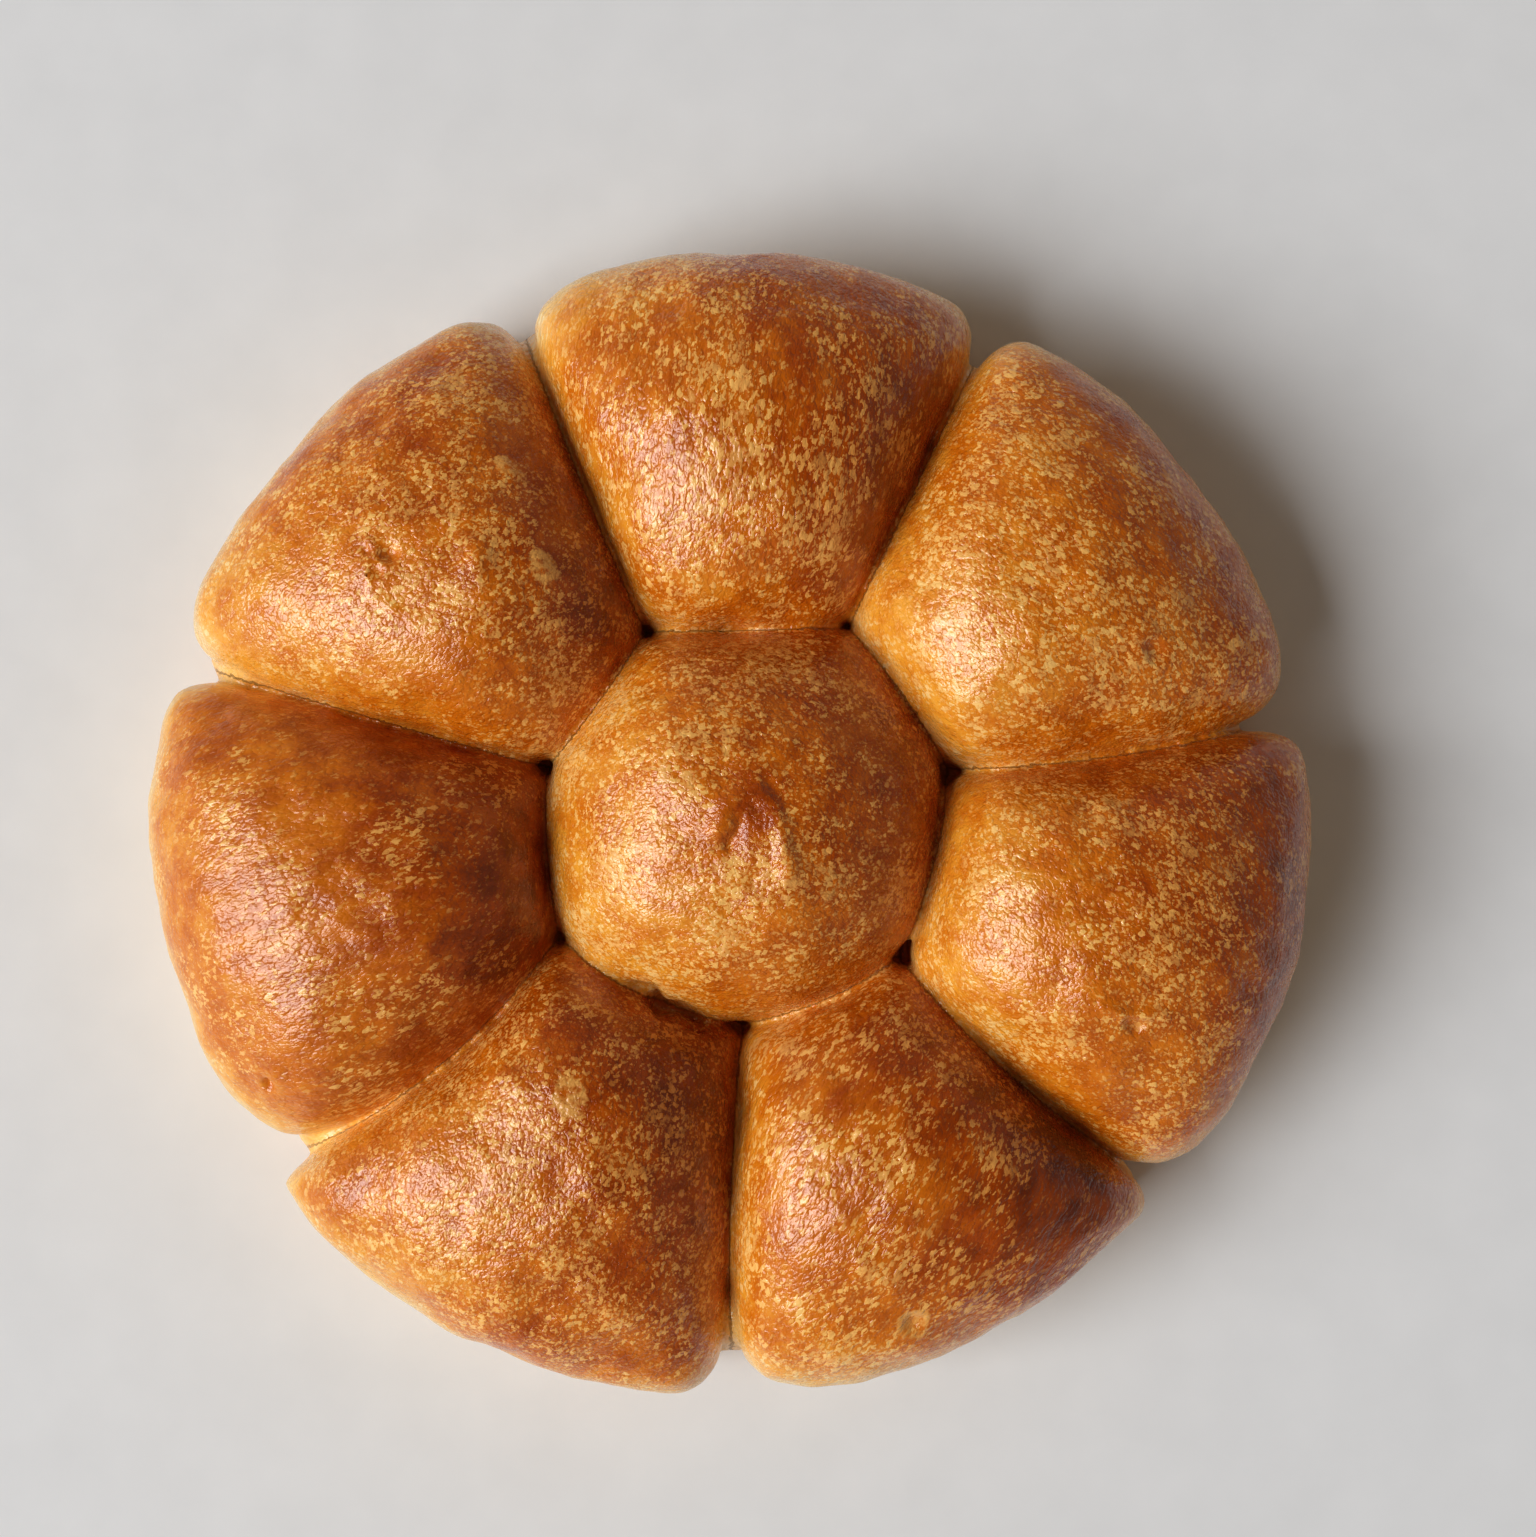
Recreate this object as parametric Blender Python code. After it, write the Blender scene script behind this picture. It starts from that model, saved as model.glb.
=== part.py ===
# Flower brioche: seven buns around an eighth, proved together in a round tin and baked into one loaf.
# Metres, +Z up. The origin is at the middle of the flat base. Angles run anticlockwise from +X.

import math
from collections import namedtuple

import bmesh
import bpy
import numpy as np

MM = 0.001

# Driving dimensions of the loaf.
TIN_CENTRE = np.array((-0.2 * MM, 0.0 * MM))  # from the middle of the loaf's box
BASE_EDGE_RADIUS = 5.0 * MM  # rounding where each bun's side meets the flat base
WIDEST_HEIGHT = 27.0 * MM  # the buns stand straight up to here and dome above it
CONTACT_OVERLAP = 0.55 * MM  # how far each bun's side runs into its neighbour's
DOME_EXPONENT = 2.15  # 2 is an ellipse, and more is squarer
MIDDLE_CORNER_EXPONENT = 18.0  # how tightly an outline turns the corners of the bun in the middle
INNER_CORNER_EXPONENT = 12.0  # and an outer bun's corners beside it
OUTER_CORNER_EXPONENT = 6.2  # and the corners that stood against the tin
CORNER_FADE = 0.55  # how soon an outline's corners round off above the widest level

# The core is the crumb that fills the loaf low down where the buns' rounded corners part.
CORE_RADIUS = 110.0 * MM
CORE_BOTTOM = 2.0 * MM
CORE_TOP = 24.0 * MM

# A seam between two outer buns: the angle and radius of its inner end, the angle of its outer end, and how
# far its middle bows anticlockwise.
Seam = namedtuple("Seam", "inner_angle inner_radius outer_angle bow")
SEAMS = (
    Seam(13.5, 46.8 * MM, 10.6, -2.5 * MM),
    Seam(58.5, 47.1 * MM, 62.1, 0.0),
    Seam(114.0, 43.0 * MM, 112.8, 0.5 * MM),
    Seam(163.6, 39.6 * MM, 163.7, 0.0),
    Seam(214.2, 43.0 * MM, 216.9, 5.4 * MM),
    Seam(273.5, 42.2 * MM, 270.2, -1.3 * MM),
    Seam(321.2, 45.0 * MM, 320.2, -3.5 * MM),
)

# An outer bun, anticlockwise from the first seam: the radius that it reaches in the tin beside its first
# seam and beside its second, the height of its crown, and how far the middle bun bows into it.
OuterBun = namedtuple("OuterBun", "near_reach far_reach height inner_bow")
OUTER_BUNS = (
    OuterBun(120.6 * MM, 118.8 * MM, 58.0 * MM, 1.0 * MM),
    OuterBun(118.5 * MM, 118.2 * MM, 58.0 * MM, 0.0),
    OuterBun(118.0 * MM, 120.3 * MM, 59.0 * MM, -1.0 * MM),
    OuterBun(120.8 * MM, 117.9 * MM, 60.0 * MM, 0.7 * MM),
    OuterBun(120.4 * MM, 119.2 * MM, 59.0 * MM, 2.8 * MM),
    OuterBun(118.6 * MM, 119.0 * MM, 58.0 * MM, 1.6 * MM),
    OuterBun(120.8 * MM, 120.2 * MM, 60.0 * MM, 1.9 * MM),
)
MIDDLE_BUN_HEIGHT = 62.0 * MM

# Fineness of the mesh.
OUTLINE_POINTS = 50
DOME_RINGS = 8
EDGE_RINGS = 2

CRUST_COLOUR = (0.45, 0.18, 0.05, 1.0)
CRUST_ROUGHNESS = 0.38


def clear_scene():
    for thing in list(bpy.data.objects):
        bpy.data.objects.remove(thing, do_unlink=True)


def polar(angle_deg, radius):
    """A place in plan, from its angle and radius about the tin's centre."""
    angle = math.radians(angle_deg)
    return TIN_CENTRE + radius * np.array((math.cos(angle), math.sin(angle)))


def seam_ends(index):
    seam = SEAMS[index % len(SEAMS)]
    reach = OUTER_BUNS[index % len(SEAMS)].near_reach
    return polar(seam.inner_angle, seam.inner_radius), polar(seam.outer_angle, reach)


def nearness_to_curve(centre, directions, start, end, bow):
    """One over the distance from the centre to a shallow curve, along each direction, or 0 for a miss.

    The curve is a parabola from start to end whose middle stands off its chord by bow, to the left.
    """
    chord = end - start
    length = np.linalg.norm(chord)
    along = chord / length
    across = np.array((-along[1], along[0]))
    u, v = along @ (centre - start), across @ (centre - start)
    du, dv = directions @ along, directions @ across
    bend = 4.0 * bow / length**2
    square_term = bend * du**2
    linear_term = dv - bend * du * (length - 2.0 * u)
    offset = v - bend * u * (length - u)
    root = np.sqrt(np.maximum(linear_term**2 - 4.0 * square_term * offset, 0.0))
    return np.maximum(-(linear_term + np.copysign(root, linear_term)) / (2.0 * offset), 0.0)


def nearness_to_circle(centre, directions, radius):
    """The same for a circle about the tin's centre."""
    offset = centre - TIN_CENTRE
    towards = directions @ offset
    return 1.0 / (np.sqrt(towards**2 + radius**2 - offset @ offset) - towards)


def nearness_to_tin(centre, directions, near_end, far_end, near_reach, far_reach):
    """The bun's side in the tin, whose radius changes evenly from its first seam to its second."""
    first_try = 1.0 / nearness_to_circle(centre, directions, (near_reach + far_reach) / 2.0)
    hits = centre + directions * first_try[:, None]
    across = (far_end - near_end) / np.linalg.norm(far_end - near_end)
    share = np.clip((hits - near_end) @ across / np.linalg.norm(far_end - near_end), 0.0, 1.0)
    return nearness_to_circle(centre, directions, near_reach + (far_reach - near_reach) * share)


def joined(nearness_of_sides, exponent):
    """The nearness of an outline made of several sides, its corners rounder for a lower exponent."""
    return sum(nearness**exponent for nearness in nearness_of_sides) ** (1.0 / exponent)


def directions_around(count):
    angles = np.linspace(0.0, 2.0 * math.pi, count, endpoint=False)
    return np.stack((np.cos(angles), np.sin(angles)), axis=1)


def outer_bun(index, directions):
    """Centre, outline and crown height of one of the seven outer buns."""
    bun = OUTER_BUNS[index]
    near_inner, near_outer = seam_ends(index)
    far_inner, far_outer = seam_ends(index + 1)
    near_bow, far_bow = SEAMS[index].bow, SEAMS[(index + 1) % len(SEAMS)].bow
    centre = (near_inner + near_outer + far_inner + far_outer) / 4.0
    seams = (
        nearness_to_curve(centre, directions, near_inner, near_outer, near_bow),
        nearness_to_curve(centre, directions, far_inner, far_outer, far_bow),
        nearness_to_curve(centre, directions, far_inner, near_inner, bun.inner_bow),
    )
    wedge = joined(seams, INNER_CORNER_EXPONENT)
    tin_side = nearness_to_tin(
        centre, directions, near_outer, far_outer, bun.near_reach, bun.far_reach
    )
    whole = joined((wedge, tin_side), OUTER_CORNER_EXPONENT)
    return centre, 1.0 / whole + CONTACT_OVERLAP, bun.height


def middle_bun(directions):
    """Centre, outline and crown height of the bun in the middle."""
    corners = [seam_ends(index)[0] for index in range(len(SEAMS))]
    centre = sum(corners) / len(corners)
    sides = [
        nearness_to_curve(centre, directions, following, corner, bun.inner_bow)
        for corner, following, bun in zip(corners, corners[1:] + corners[:1], OUTER_BUNS)
    ]
    return centre, 1.0 / joined(sides, MIDDLE_CORNER_EXPONENT) + CONTACT_OVERLAP, MIDDLE_BUN_HEIGHT


def faded(outline_radii, share):
    """The outline shrunk to a share of its size, its corners fading as the share falls."""
    waves = np.fft.rfft(outline_radii)
    fade = share ** (CORNER_FADE * np.arange(len(waves)))
    return share * np.fft.irfft(waves * fade, len(outline_radii))


def bun_rings(outline_radii, height):
    """The bun's level rings from the base up, each as distances from its centre and a height."""
    rings = []
    for step in range(EDGE_RINGS + 1):
        turn = 0.5 * math.pi * step / EDGE_RINGS
        inset = BASE_EDGE_RADIUS * (1.0 - math.sin(turn))
        rings.append((outline_radii - inset, BASE_EDGE_RADIUS * (1.0 - math.cos(turn))))
    for step in range(DOME_RINGS):
        turn = 0.5 * math.pi * step / DOME_RINGS
        share = math.cos(turn) ** (2.0 / DOME_EXPONENT)
        rise = math.sin(turn) ** (2.0 / DOME_EXPONENT)
        rings.append((faded(outline_radii, share), WIDEST_HEIGHT + (height - WIDEST_HEIGHT) * rise))
    return rings


def bun_mesh(name, centre, outline_radii, height, directions):
    """Lofts the bun's rings, with the base and the crown closed by fans."""
    shape = bmesh.new()
    levels = []
    for radii, z in bun_rings(outline_radii, height):
        places = centre + directions * radii[:, None]
        levels.append([shape.verts.new((x, y, z)) for x, y in places])
    base = shape.verts.new((centre[0], centre[1], 0.0))
    crown = shape.verts.new((centre[0], centre[1], height))
    count = len(directions)
    for i in range(count):
        j = (i + 1) % count
        shape.faces.new((base, levels[0][j], levels[0][i]))
        shape.faces.new((crown, levels[-1][i], levels[-1][j]))
        for low, high in zip(levels, levels[1:]):
            shape.faces.new((low[i], low[j], high[j], high[i]))
    mesh = bpy.data.meshes.new(name)
    shape.to_mesh(mesh)
    shape.free()
    return bpy.data.objects.new(name, mesh)


def core_object():
    bpy.ops.mesh.primitive_cylinder_add(
        vertices=OUTLINE_POINTS,
        radius=CORE_RADIUS,
        depth=CORE_TOP - CORE_BOTTOM,
        location=(*TIN_CENTRE, (CORE_TOP + CORE_BOTTOM) / 2.0),
    )
    core = bpy.context.object
    core.name = "core"
    return core


def crust_material():
    material = bpy.data.materials.new("brioche_crust")
    material.use_nodes = True
    shader = material.node_tree.nodes["Principled BSDF"]
    shader.inputs["Base Color"].default_value = CRUST_COLOUR
    shader.inputs["Roughness"].default_value = CRUST_ROUGHNESS
    shader.inputs["Metallic"].default_value = 0.0
    return material


def join_buns(core, buns, holder):
    """Fuses the buns and the core into one solid, and removes what was fused."""
    fused_in = bpy.data.collections.new("fused_in")
    holder.children.link(fused_in)
    for bun in buns:
        fused_in.objects.link(bun)
    union = core.modifiers.new("fuse_buns", "BOOLEAN")
    union.operation = "UNION"
    union.operand_type = "COLLECTION"
    union.collection = fused_in
    union.solver = "MANIFOLD"
    bpy.context.view_layer.update()
    evaluated = core.evaluated_get(bpy.context.evaluated_depsgraph_get())
    mesh = bpy.data.meshes.new_from_object(evaluated)
    mesh.transform(core.matrix_world)
    for bun in buns:
        bpy.data.objects.remove(bun, do_unlink=True)
    bpy.data.collections.remove(fused_in)
    bpy.data.objects.remove(core, do_unlink=True)
    return mesh


def main():
    clear_scene()
    holder = bpy.data.collections.new("flower_brioche")
    bpy.context.scene.collection.children.link(holder)
    directions = directions_around(OUTLINE_POINTS)
    shapes = [outer_bun(index, directions) for index in range(len(OUTER_BUNS))]
    shapes.append(middle_bun(directions))
    buns = [bun_mesh(f"bun_{number}", *shape, directions) for number, shape in enumerate(shapes)]
    mesh = join_buns(core_object(), buns, holder)
    mesh.name = "brioche"
    mesh.materials.clear()
    mesh.materials.append(crust_material())
    mesh.shade_smooth()
    mesh.set_sharp_from_angle(angle=math.radians(40.0))
    brioche = bpy.data.objects.new("brioche", mesh)
    holder.objects.link(brioche)


main()
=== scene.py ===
# Flower brioche: the looks of the baked loaf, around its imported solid.
# Metres, +Z up. Angles run anticlockwise from +X, which is the right of the photograph.

import itertools
import math
from collections import namedtuple

import bmesh
import bpy
import numpy as np
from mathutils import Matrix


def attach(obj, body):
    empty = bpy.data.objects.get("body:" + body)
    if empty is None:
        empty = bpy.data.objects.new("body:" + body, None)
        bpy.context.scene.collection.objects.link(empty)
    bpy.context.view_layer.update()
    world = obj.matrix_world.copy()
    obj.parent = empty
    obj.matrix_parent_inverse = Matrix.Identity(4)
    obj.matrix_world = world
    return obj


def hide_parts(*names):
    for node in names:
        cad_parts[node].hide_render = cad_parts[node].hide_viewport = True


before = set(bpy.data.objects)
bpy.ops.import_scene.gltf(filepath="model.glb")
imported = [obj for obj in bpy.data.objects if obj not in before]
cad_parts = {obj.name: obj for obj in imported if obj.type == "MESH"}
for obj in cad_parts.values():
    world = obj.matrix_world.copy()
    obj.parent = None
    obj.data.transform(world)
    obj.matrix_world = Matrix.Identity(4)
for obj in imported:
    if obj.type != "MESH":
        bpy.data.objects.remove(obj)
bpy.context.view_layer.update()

MM = 0.001

# The photograph's view: straight down, from over a place a little off the loaf's middle.
CAMERA_PLACE = (7.69 * MM, 11.15 * MM, 550.0 * MM)
VIEW_WIDTH = 339.3 * MM  # how much of the floor the picture spans
SENSOR_WIDTH = 36.0  # millimetres, as the camera's lens length is
NEAREST_SEEN = 0.01  # metres

# The loaf's form, as in its solid.
TIN_CENTRE = np.array((-0.2 * MM, 0.0 * MM))
BASE_EDGE_RADIUS = 5.0 * MM
WIDEST_HEIGHT = 27.0 * MM
CONTACT_OVERLAP = 0.55 * MM
DOME_EXPONENT = 2.15
MIDDLE_CORNER_EXPONENT = 18.0
INNER_CORNER_EXPONENT = 12.0
OUTER_CORNER_EXPONENT = 6.2
CORNER_FADE = 0.55
CORE_RADIUS = 110.0 * MM
CORE_BOTTOM = 2.0 * MM
CORE_TOP = 24.0 * MM
CORE_EDGE = 6.0 * MM

Seam = namedtuple("Seam", "inner_angle inner_radius outer_angle bow")
SEAMS = (
    Seam(13.5, 46.8 * MM, 10.6, -2.5 * MM),
    Seam(58.5, 47.1 * MM, 62.1, 0.0),
    Seam(114.0, 43.0 * MM, 112.8, 0.5 * MM),
    Seam(163.6, 39.6 * MM, 163.7, 0.0),
    Seam(214.2, 43.0 * MM, 216.9, 5.4 * MM),
    Seam(273.5, 42.2 * MM, 270.2, -1.3 * MM),
    Seam(321.2, 45.0 * MM, 320.2, -3.5 * MM),
)
OuterBun = namedtuple("OuterBun", "near_reach far_reach height inner_bow")
OUTER_BUNS = (
    OuterBun(120.6 * MM, 118.8 * MM, 58.0 * MM, 1.0 * MM),
    OuterBun(118.5 * MM, 118.2 * MM, 58.0 * MM, 0.0),
    OuterBun(118.0 * MM, 120.3 * MM, 59.0 * MM, -1.0 * MM),
    OuterBun(120.8 * MM, 117.9 * MM, 60.0 * MM, 0.7 * MM),
    OuterBun(120.4 * MM, 119.2 * MM, 59.0 * MM, 2.8 * MM),
    OuterBun(118.6 * MM, 119.0 * MM, 58.0 * MM, 1.6 * MM),
    OuterBun(120.8 * MM, 120.2 * MM, 60.0 * MM, 1.9 * MM),
)
MIDDLE_BUN_HEIGHT = 62.0 * MM

# Fineness of the visual mesh.
OUTLINE_POINTS = 280
DOME_RINGS = 112
WALL_RINGS = 12
EDGE_RINGS = 5
VOXEL_SIZE = 0.6 * MM
TRIANGLES = 190000

# How far from a seam, as a share of a bun, its crease is rounded, how strongly and in how many passes.
SEAM_SHARE = 0.09
SEAM_HEIGHTS = (4.0 * MM, 12.0 * MM)  # the rounding fades in from the base between these
SEAM_STRENGTH = 0.5
SEAM_PASSES = 40


# The buns' outlines


def directions_around(count):
    angles = np.linspace(0.0, 2.0 * math.pi, count, endpoint=False)
    return np.stack((np.cos(angles), np.sin(angles)), axis=1)


def polar(angle_deg, radius):
    """A place in plan, from its angle and radius about the tin's centre."""
    angle = math.radians(angle_deg)
    return TIN_CENTRE + radius * np.array((math.cos(angle), math.sin(angle)))


def seam_ends(index):
    seam = SEAMS[index % len(SEAMS)]
    reach = OUTER_BUNS[index % len(SEAMS)].near_reach
    return polar(seam.inner_angle, seam.inner_radius), polar(seam.outer_angle, reach)


def nearness_to_curve(centre, directions, start, end, bow):
    """One over the distance from the centre to a shallow curve, along each direction, or 0 for a miss.

    The curve is a parabola from start to end whose middle stands off its chord by bow, to the left.
    """
    chord = end - start
    length = np.linalg.norm(chord)
    along = chord / length
    across = np.array((-along[1], along[0]))
    u, v = along @ (centre - start), across @ (centre - start)
    du, dv = directions @ along, directions @ across
    bend = 4.0 * bow / length**2
    square_term = bend * du**2
    linear_term = dv - bend * du * (length - 2.0 * u)
    offset = v - bend * u * (length - u)
    root = np.sqrt(np.maximum(linear_term**2 - 4.0 * square_term * offset, 0.0))
    return np.maximum(-(linear_term + np.copysign(root, linear_term)) / (2.0 * offset), 0.0)


def nearness_to_circle(centre, directions, radius):
    """The same for a circle about the tin's centre."""
    offset = centre - TIN_CENTRE
    towards = directions @ offset
    return 1.0 / (np.sqrt(towards**2 + radius**2 - offset @ offset) - towards)


def nearness_to_tin(centre, directions, near_end, far_end, near_reach, far_reach):
    """The bun's side in the tin, whose radius changes evenly from its first seam to its second."""
    first_try = 1.0 / nearness_to_circle(centre, directions, (near_reach + far_reach) / 2.0)
    hits = centre + directions * first_try[:, None]
    across = (far_end - near_end) / np.linalg.norm(far_end - near_end)
    share = np.clip((hits - near_end) @ across / np.linalg.norm(far_end - near_end), 0.0, 1.0)
    return nearness_to_circle(centre, directions, near_reach + (far_reach - near_reach) * share)


def joined(nearness_of_sides, exponent):
    """The nearness of an outline made of several sides, its corners rounder for a lower exponent."""
    return sum(nearness**exponent for nearness in nearness_of_sides) ** (1.0 / exponent)


def outer_bun(index, directions):
    """Centre, outline and crown height of one of the seven outer buns."""
    bun = OUTER_BUNS[index]
    near_inner, near_outer = seam_ends(index)
    far_inner, far_outer = seam_ends(index + 1)
    near_bow, far_bow = SEAMS[index].bow, SEAMS[(index + 1) % len(SEAMS)].bow
    centre = (near_inner + near_outer + far_inner + far_outer) / 4.0
    seams = (
        nearness_to_curve(centre, directions, near_inner, near_outer, near_bow),
        nearness_to_curve(centre, directions, far_inner, far_outer, far_bow),
        nearness_to_curve(centre, directions, far_inner, near_inner, bun.inner_bow),
    )
    wedge = joined(seams, INNER_CORNER_EXPONENT)
    tin_side = nearness_to_tin(
        centre, directions, near_outer, far_outer, bun.near_reach, bun.far_reach
    )
    whole = joined((wedge, tin_side), OUTER_CORNER_EXPONENT)
    return centre, 1.0 / whole + CONTACT_OVERLAP, bun.height


def middle_bun(directions):
    """Centre, outline and crown height of the bun in the middle."""
    corners = [seam_ends(index)[0] for index in range(len(SEAMS))]
    centre = sum(corners) / len(corners)
    sides = [
        nearness_to_curve(centre, directions, following, corner, bun.inner_bow)
        for corner, following, bun in zip(corners, corners[1:] + corners[:1], OUTER_BUNS)
    ]
    return centre, 1.0 / joined(sides, MIDDLE_CORNER_EXPONENT) + CONTACT_OVERLAP, MIDDLE_BUN_HEIGHT


def all_buns(directions):
    """The same for every bun, the middle one last."""
    return [outer_bun(index, directions) for index in range(len(OUTER_BUNS))] + [middle_bun(directions)]


def bun_shares(places):
    """Each place's distance from every bun's middle, as a share of that bun's reach, and the middles."""
    shapes = all_buns(directions_around(OUTLINE_POINTS))
    grid = np.linspace(0.0, 2.0 * math.pi, OUTLINE_POINTS + 1)
    shares = []
    for centre, radii, _ in shapes:
        offset = places[:, :2] - centre
        angle = np.arctan2(offset[:, 1], offset[:, 0]) % (2.0 * math.pi)
        shares.append(np.hypot(*offset.T) / np.interp(angle, grid, np.append(radii, radii[0])))
    return np.array(shares), np.array([shape[0] for shape in shapes])


def faded(outline_radii, share):
    """The outline shrunk to a share of its size, its corners fading as the share falls."""
    waves = np.fft.rfft(outline_radii)
    fade = share ** (CORNER_FADE * np.arange(len(waves)))
    return share * np.fft.irfft(waves * fade, len(outline_radii))


def bun_rings(outline_radii, height):
    """The bun's level rings from the base up, each as distances from its centre and a height."""
    rings = []
    for turn in np.linspace(0.0, 0.5 * math.pi, EDGE_RINGS + 1):
        inset = BASE_EDGE_RADIUS * (1.0 - math.sin(turn))
        rings.append((outline_radii - inset, BASE_EDGE_RADIUS * (1.0 - math.cos(turn))))
    for z in np.linspace(BASE_EDGE_RADIUS, WIDEST_HEIGHT, WALL_RINGS + 1)[1:-1]:
        rings.append((outline_radii, z))
    for turn in np.linspace(0.0, 0.5 * math.pi, DOME_RINGS, endpoint=False):
        share = math.cos(turn) ** (2.0 / DOME_EXPONENT)
        rise = math.sin(turn) ** (2.0 / DOME_EXPONENT)
        rings.append((faded(outline_radii, share), WIDEST_HEIGHT + (height - WIDEST_HEIGHT) * rise))
    return rings


def core_rings():
    """The crumb that fills the loaf low down where the buns' corners part, as rings of the same kind."""
    radii = np.full(OUTLINE_POINTS, CORE_RADIUS)
    rings = [(radii, CORE_BOTTOM)]
    for turn in np.linspace(0.0, 0.5 * math.pi, EDGE_RINGS + 1):
        inset = CORE_EDGE * (1.0 - math.cos(turn))
        rings.append((radii - inset, CORE_TOP - CORE_EDGE * (1.0 - math.sin(turn))))
    return rings


# Webs and tails of dough that fill the corner low down where two outer buns part.
Tail = namedtuple("Tail", "angle radius along across top turn")
TAILS = (
    Tail(10.6, 100.0 * MM, 10.5 * MM, 7.0 * MM, 33.0 * MM, 10.6),
    Tail(62.1, 99.0 * MM, 10.5 * MM, 7.0 * MM, 32.0 * MM, 62.1),
    Tail(112.8, 101.5 * MM, 11.0 * MM, 6.0 * MM, 34.0 * MM, 111.0),
    Tail(162.6, 103.5 * MM, 12.0 * MM, 5.6 * MM, 34.0 * MM, 157.0),
    Tail(217.0, 103.5 * MM, 11.5 * MM, 9.0 * MM, 31.0 * MM, 217.0),
    Tail(270.2, 101.5 * MM, 12.0 * MM, 11.0 * MM, 34.0 * MM, 270.2),
    Tail(320.2, 100.0 * MM, 10.5 * MM, 7.0 * MM, 32.0 * MM, 320.2),
)
TAIL_RINGS = 40
TAIL_SPAN = (0.06, 0.98)  # the shares of an egg's half turn where its rings start and end


def tail_rings(tail, directions):
    """An upright egg of dough, as rings of the same kind, from the base up."""
    turn = math.radians(tail.turn)
    forward = np.array((math.cos(turn), math.sin(turn)))
    ahead, aside = directions @ forward, directions @ np.array((-forward[1], forward[0]))
    outline = 1.0 / np.hypot(ahead / tail.along, aside / tail.across)
    rings = []
    for rise in np.linspace(*TAIL_SPAN, TAIL_RINGS) * math.pi:
        rings.append((outline * math.sin(rise), 0.5 * tail.top * (1.0 - math.cos(rise))))
    return rings


# Relief of the crust


RANDOM_VALUES = np.random.default_rng(12).uniform(-1.0, 1.0, 8192)
HASH_STEPS = np.array((73856093, 19349663, 83492791))
SEED_STEP = 977


def smooth_noise(places, size, seed):
    """Smooth noise from -1 to 1 whose lumps are about the given size across."""
    cells = places / size
    corner = np.floor(cells).astype(np.int64)
    part = cells - corner
    part = part * part * (3.0 - 2.0 * part)
    total = np.zeros(len(places))
    for step in itertools.product((0, 1), repeat=3):
        hashed = np.bitwise_xor.reduce((corner + step) * HASH_STEPS, axis=1) + seed * SEED_STEP
        weight = np.prod(np.where(step, part, 1.0 - part), axis=1)
        total += weight * RANDOM_VALUES[hashed % len(RANDOM_VALUES)]
    return total


# Smooth lumps: how high they are, how far across, and the seed they are drawn from.
Lumps = namedtuple("Lumps", "height size seed")


def raised_by(places, lumps, seed=0):
    return lumps.height * smooth_noise(places, lumps.size, seed + lumps.seed)


def smooth_step(low, high, values):
    share = np.clip((values - low) / (high - low), 0.0, 1.0)
    return share * share * (3.0 - 2.0 * share)


# Marks on the crust, each at its place in plan in millimetres, seen from above.
Pit = namedtuple("Pit", "x y radius depth rim")
PITS = (
    Pit(-67.3, 53.8, 1.9, 1.3, 0.15),
    Pit(-71.8, 54.4, 1.1, 0.9, 0.1),
    Pit(-69.2, 49.8, 1.3, 0.7, 0.1),
    Pit(20.0, -12.0, 1.3, 0.5, 0.1),
    Pit(-93.8, -53.0, 1.1, 2.2, 0.1),
    Pit(37.3, -100.9, 2.2, 1.1, 0.2),
    Pit(80.5, -39.8, 1.9, 1.3, 0.2),
    Pit(84.8, 34.8, 2.1, 1.0, 0.15),
    Pit(-111.2, 17.8, 0.6, 0.8, 0.0),
)
Blister = namedtuple("Blister", "x y length width turn height")
BLISTERS = (
    Blister(-49.6, 52.1, 4.6, 3.0, 100.0, 0.8),
    Blister(-36.9, 51.1, 4.6, 3.2, 130.0, 0.5),
    Blister(-44.0, 71.0, 3.0, 1.8, 150.0, 0.4),
    Blister(-71.2, 73.3, 1.4, 1.2, 0.0, 0.5),
    Blister(-8.8, -60.7, 3.2, 2.0, 70.0, 0.5),
    Blister(-20.5, -50.9, 2.8, 1.8, 40.0, 0.4),
    Blister(75.0, 3.3, 2.4, 1.8, 60.0, 0.6),
    Blister(78.6, 26.8, 1.6, 1.4, 0.0, 0.5),
    Blister(12.0, 16.0, 2.4, 1.8, 90.0, 0.3),
    Blister(20.3, -12.0, 3.4, 2.6, 100.0, 0.4),
    Blister(-46.0, -16.0, 1.5, 1.2, 0.0, 0.4),
)
Fold = namedtuple("Fold", "points width height")
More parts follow.
